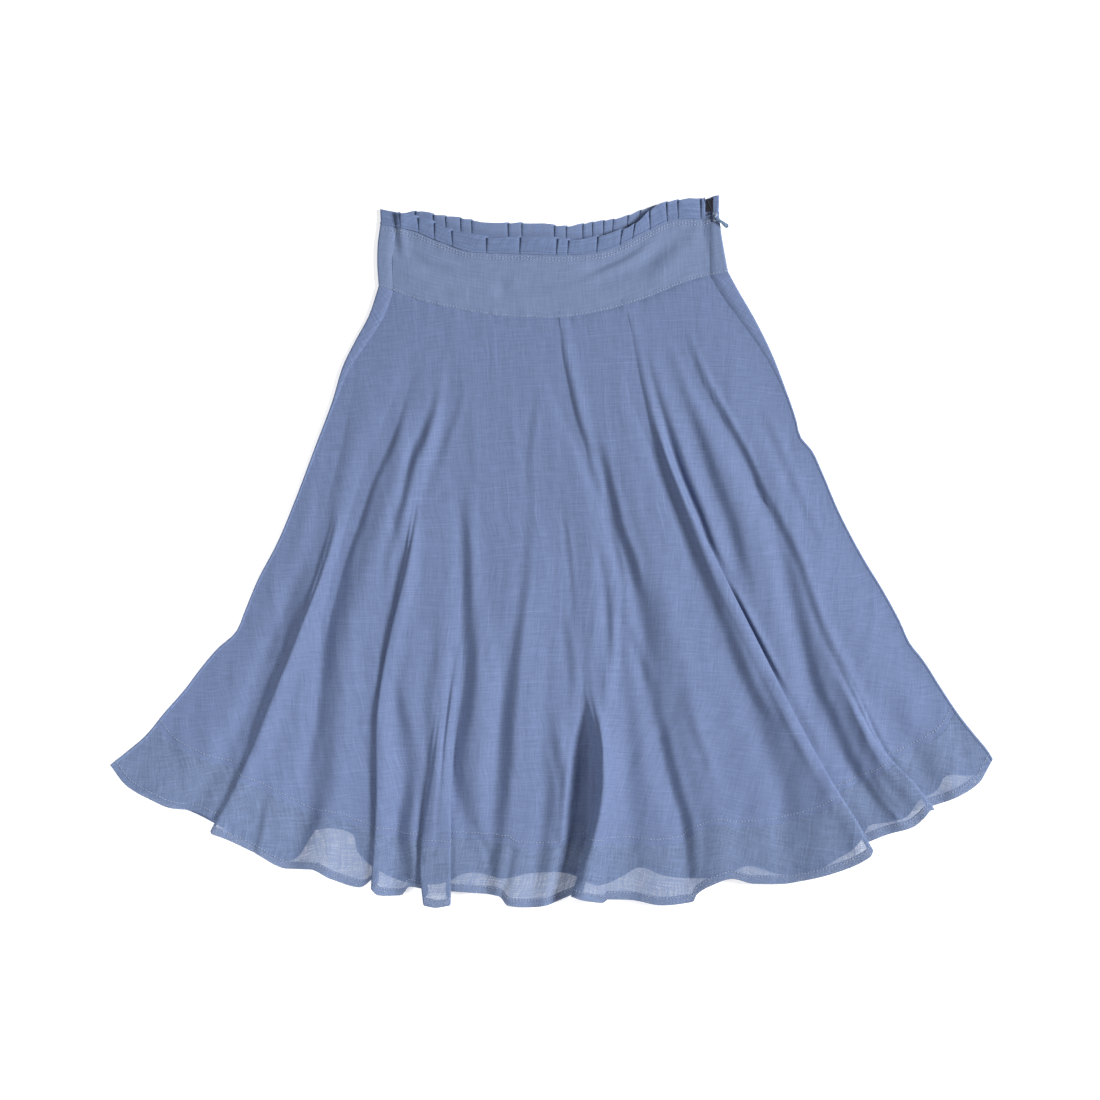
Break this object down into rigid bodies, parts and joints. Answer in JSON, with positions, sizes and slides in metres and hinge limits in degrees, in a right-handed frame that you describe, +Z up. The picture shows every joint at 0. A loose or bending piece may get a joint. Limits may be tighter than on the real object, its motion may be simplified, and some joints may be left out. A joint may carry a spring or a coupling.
{
  "type": "circle skirt",
  "caption": "Blue voile circle skirt laid flat, front up, with deep folds, a shaped flounce along the hem, a hip yoke, a pleated waist frill and a side zip.",
  "frame": {"origin": "centre of the bounding box in plan, on the surface that the skirt lies on", "axes": "+X towards the right side of the laid-out skirt as seen from above, which has the zip, +Y towards the waist, +Z up from the surface"},
  "size_m": [0.8832, 0.7106, 0.0257],
  "materials": {
    "panel_voile": "matt plain-woven voile, slightly sheer",
    "flounce_voile": "matt plain-woven voile, slightly sheer",
    "yoke_voile": "matt plain-woven voile in two layers",
    "frill_voile": "matt plain-woven voile, pleated",
    "navy_tape": "woven zip tape",
    "blue_painted_slider": "satin enamel",
    "blue_painted_pull": "satin enamel"
  },
  "bodies": {
    "garment": {"front_skirt": "panel_voile", "back_skirt": "panel_voile", "front_flounce": "flounce_voile", "back_flounce": "flounce_voile", "front_yoke": "yoke_voile", "back_yoke": "yoke_voile", "front_frill": "frill_voile", "back_frill": "frill_voile", "zip_tape": "navy_tape", "zip_slider": "blue_painted_slider"},
    "pull_tab": {"zip_pull": "blue_painted_pull"}
  },
  "joints": [
    {"name": "pull_swing", "type": "hinge", "parent": "garment", "child": "pull_tab", "pos_m": [0.16302, 0.33296, 0.0087], "axis": [-0.6157, -0.788, 0], "range_deg": [0, 180]}
  ]
}
